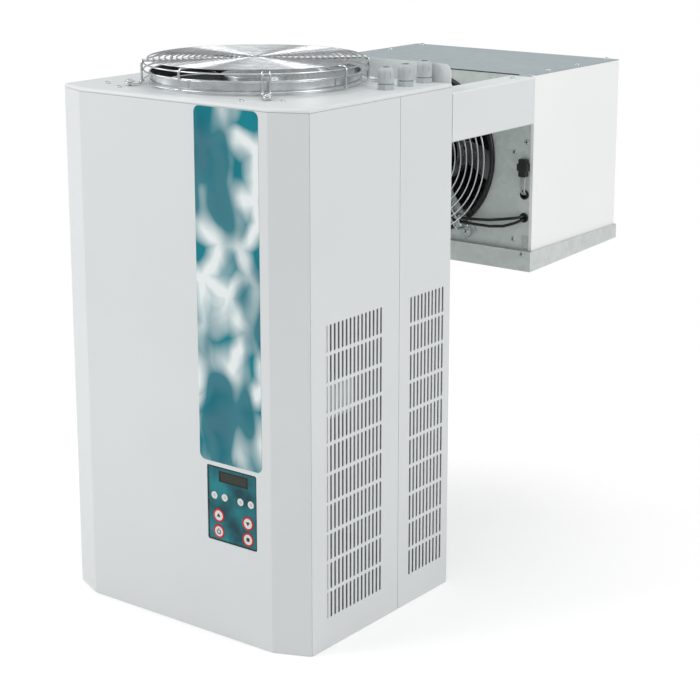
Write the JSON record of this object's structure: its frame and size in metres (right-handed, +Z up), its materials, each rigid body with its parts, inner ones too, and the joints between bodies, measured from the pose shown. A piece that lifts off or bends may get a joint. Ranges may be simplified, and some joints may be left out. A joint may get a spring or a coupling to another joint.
{
  "type": "monoblock refrigeration unit",
  "caption": "Wall-straddling refrigeration unit: upright condensing cabinet with a guarded top fan, joined by arms to an evaporator box with its own fan, coil and drip tray.",
  "frame": {"origin": "centre of the cabinet's base, on the floor plane", "axes": "+Z up, +Y from the cabinet through the wall to the evaporator, +X to the right seen from the front"},
  "size_m": [0.4355, 0.8134, 0.7731],
  "materials": {
    "white_paint": "satin powder coat",
    "side_paint": "satin powder coat",
    "galvanised": "dull zinc coat",
    "fan_steel": "bright sheet",
    "wire": "bright zinc plating",
    "screw_steel": "zinc plating",
    "black_paint": "satin",
    "fin": "plain sheet",
    "copper": "plain copper",
    "black_rubber": "matt",
    "black_plastic": "satin",
    "foam": "closed-cell foam",
    "board": "solder resist",
    "panel_film": "polycarbonate film",
    "pane": "smoked acrylic",
    "key_red": "moulded",
    "lens": "clear lens",
    "label_film": "printed film",
    "gland_plastic": "moulded polyamide",
    "grey_lead": "soft insulation",
    "black_lead": "soft sheath"
  },
  "bodies": {
    "unit": {"base_tray": "galvanised", "front_cover": "white_paint", "side_panel_right": "side_paint", "side_panel_left": "side_paint", "rear_casing": "side_paint", "rear_plate": "side_paint", "top_panel": "white_paint", "fan_collar": "fan_steel", "top_guard": "wire", "guard_screws": "screw_steel", "top_motor_bracket": "galvanised", "top_fan_motor": "black_paint", "condenser_fins": "fin", "condenser_tubes": "copper", "condenser_end_plates": "galvanised", "compressor": "black_paint", "compressor_grommets": "black_rubber", "terminal_cover": "black_plastic", "filter_drier": "copper", "discharge_pipe": "copper", "liquid_pipe": "copper", "suction_pipe": "copper", "suction_insulation": "foam", "electrical_box": "galvanised", "controller_housing": "black_plastic", "controller_board": "board", "control_panel": "panel_film", "display_window": "pane", "led_lenses": "lens", "decor_label": "label_film", "gland_bodies": "gland_plastic", "gland_nuts": "gland_plastic", "gland_seals": "black_rubber", "panel_screws": "screw_steel", "arm_right": "white_paint", "arm_left": "white_paint", "saddle_plate": "galvanised", "evap_side_right": "white_paint", "evap_side_left": "white_paint", "evap_top": "galvanised", "evap_fan_plate": "galvanised", "evap_fan_ring": "black_plastic", "evap_guard": "wire", "evap_motor_bracket": "galvanised", "evap_fan_motor": "black_paint", "evap_fins": "fin", "evap_tubes": "copper", "evap_end_plates": "galvanised", "drip_tray": "galvanised", "tray_brackets": "screw_steel", "cable_grommets": "black_rubber", "plug_connector": "black_plastic", "connector_leads": "grey_lead", "fan_leads": "black_lead"},
    "top_fan": {"top_fan": "fan_steel"},
    "evap_fan": {"evap_fan": "fan_steel"},
    "key_1": {"key_1": "key_red"},
    "key_2": {"key_2": "key_red"},
    "key_3": {"key_3": "key_red"},
    "key_4": {"key_4": "key_red"}
  },
  "joints": [
    {"name": "top_fan_spin", "type": "hinge", "parent": "unit", "child": "top_fan", "pos_m": [0, 0.0055, 0.75], "axis": [0, 0, 1], "continuous": true},
    {"name": "evap_fan_spin", "type": "hinge", "parent": "unit", "child": "evap_fan", "pos_m": [0.021, 0.43, 0.591], "axis": [0, 1, 0], "continuous": true},
    {"name": "key_1_press", "type": "slide", "parent": "unit", "child": "key_1", "axis": [0, 1, 0], "range_m": [0, 0.001], "stiffness_N_per_m": 400, "springref_m": -0.0005},
    {"name": "key_2_press", "type": "slide", "parent": "unit", "child": "key_2", "axis": [0, 1, 0], "range_m": [0, 0.001], "stiffness_N_per_m": 400, "springref_m": -0.0005},
    {"name": "key_3_press", "type": "slide", "parent": "unit", "child": "key_3", "axis": [0, 1, 0], "range_m": [0, 0.001], "stiffness_N_per_m": 400, "springref_m": -0.0005},
    {"name": "key_4_press", "type": "slide", "parent": "unit", "child": "key_4", "axis": [0, 1, 0], "range_m": [0, 0.001], "stiffness_N_per_m": 400, "springref_m": -0.0005}
  ]
}
